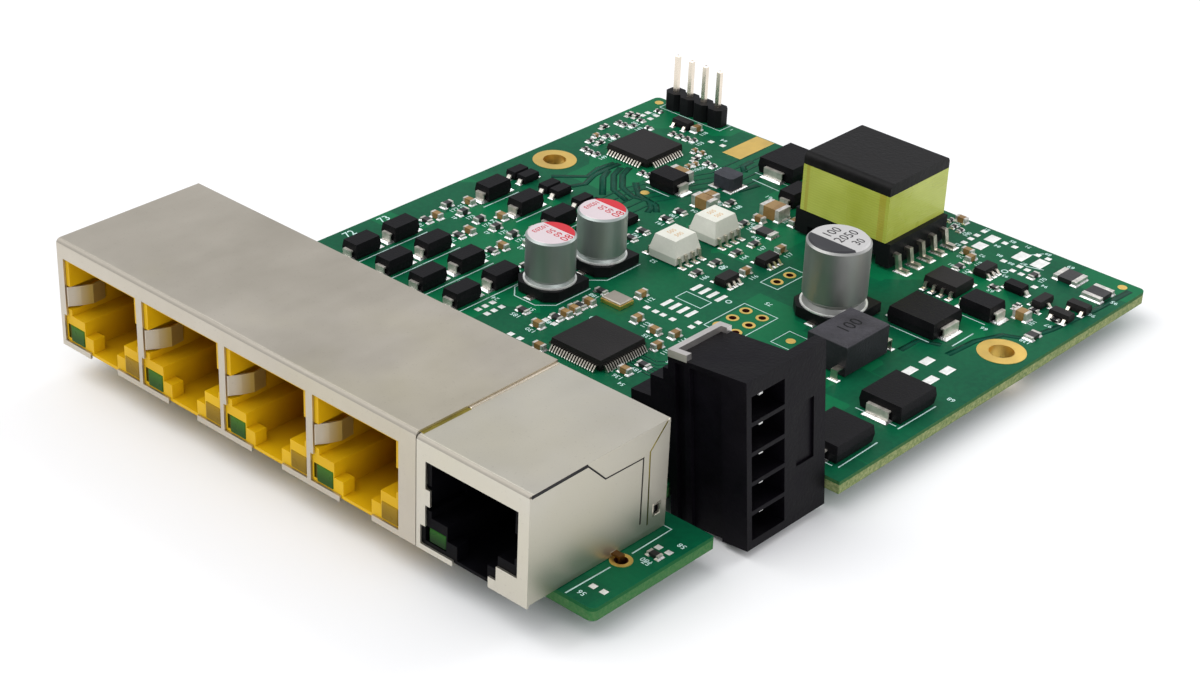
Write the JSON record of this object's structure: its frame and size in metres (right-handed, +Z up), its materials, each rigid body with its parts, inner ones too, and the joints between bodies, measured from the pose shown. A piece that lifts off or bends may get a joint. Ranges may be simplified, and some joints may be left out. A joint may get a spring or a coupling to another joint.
{
  "type": "ethernet switch circuit board",
  "caption": "Populated network switch board with a row of shielded modular jacks on its front edge, a stacked terminal header, a transformer, capacitors and chips.",
  "frame": {"origin": "midpoint of the two mounting holes, on the board's top face", "axes": "+Z up out of the component side, +X left to right along the jacks, which face -Y"},
  "size_m": [0.082, 0.1039, 0.0208],
  "materials": {
    "board_laminate": "satin green mask",
    "hole_plating": "satin gold flash",
    "jack_shield": "satin tin plate",
    "jack_yellow": "satin moulding",
    "jack_black": "satin moulding",
    "contact_gold": "polished wire",
    "tinned_lead": "tinned",
    "green_light": "clear tinted",
    "amber_light": "clear tinted",
    "header_black": "fine moulded grain",
    "clip_steel": "bright",
    "bobbin_black": "satin moulding",
    "ferrite": "ground ferrite",
    "winding_tape": "smooth film",
    "can_aluminium": "satin drawn can",
    "base_black": "satin moulding",
    "choke_black": "satin moulding",
    "opto_white": "satin moulding",
    "chip_epoxy": "matt epoxy",
    "crystal_metal": "satin lid",
    "inductor_grey": "ground ferrite",
    "capacitor_ceramic": "fired ceramic",
    "resistor_ceramic": "glazed film"
  },
  "bodies": {
    "root": {"circuit_board": "board_laminate", "mounting_hole_plating": "hole_plating", "quad_jack_shield": "jack_shield", "quad_jack_housing": "jack_yellow", "quad_jack_contacts": "contact_gold", "quad_jack_green_lights": "green_light", "quad_jack_amber_lights": "amber_light", "single_jack_shield": "jack_shield", "single_jack_housing": "jack_black", "single_jack_contacts": "contact_gold", "single_jack_lights": "amber_light", "terminal_header_housing": "header_black", "terminal_header_pins": "tinned_lead", "terminal_header_clip": "clip_steel", "pin_header_body": "header_black", "pin_header_pins": "contact_gold", "transformer_bobbin": "bobbin_black", "transformer_core": "ferrite", "transformer_tape": "winding_tape", "transformer_pins": "tinned_lead", "electrolytic_can": "can_aluminium", "electrolytic_base": "base_black", "electrolytic_leads": "tinned_lead", "polymer_cans": "can_aluminium", "polymer_bases": "base_black", "polymer_leads": "tinned_lead", "choke_body": "choke_black", "choke_terminals": "tinned_lead", "optocoupler_bodies": "opto_white", "optocoupler_leads": "tinned_lead", "switch_chip_body": "chip_epoxy", "switch_chip_leads": "tinned_lead", "controller_body": "chip_epoxy", "controller_leads": "tinned_lead", "driver_body": "chip_epoxy", "driver_leads": "tinned_lead", "six_lead_bodies": "chip_epoxy", "six_lead_leads": "tinned_lead", "transistor_bodies": "chip_epoxy", "transistor_leads": "tinned_lead", "crystal_base": "contact_gold", "crystal_lid": "crystal_metal", "port_diode_bodies": "chip_epoxy", "port_diode_terminals": "tinned_lead", "large_diode_bodies": "chip_epoxy", "large_diode_terminals": "tinned_lead", "small_diode_bodies": "chip_epoxy", "small_diode_terminals": "tinned_lead", "inductor_body": "inductor_grey", "inductor_terminals": "tinned_lead", "chip_capacitor_bodies": "capacitor_ceramic", "chip_capacitor_ends": "tinned_lead", "chip_resistor_bodies": "resistor_ceramic", "chip_resistor_ends": "tinned_lead", "sense_resistor_bodies": "resistor_ceramic", "sense_resistor_ends": "tinned_lead"}
  },
  "joints": []
}
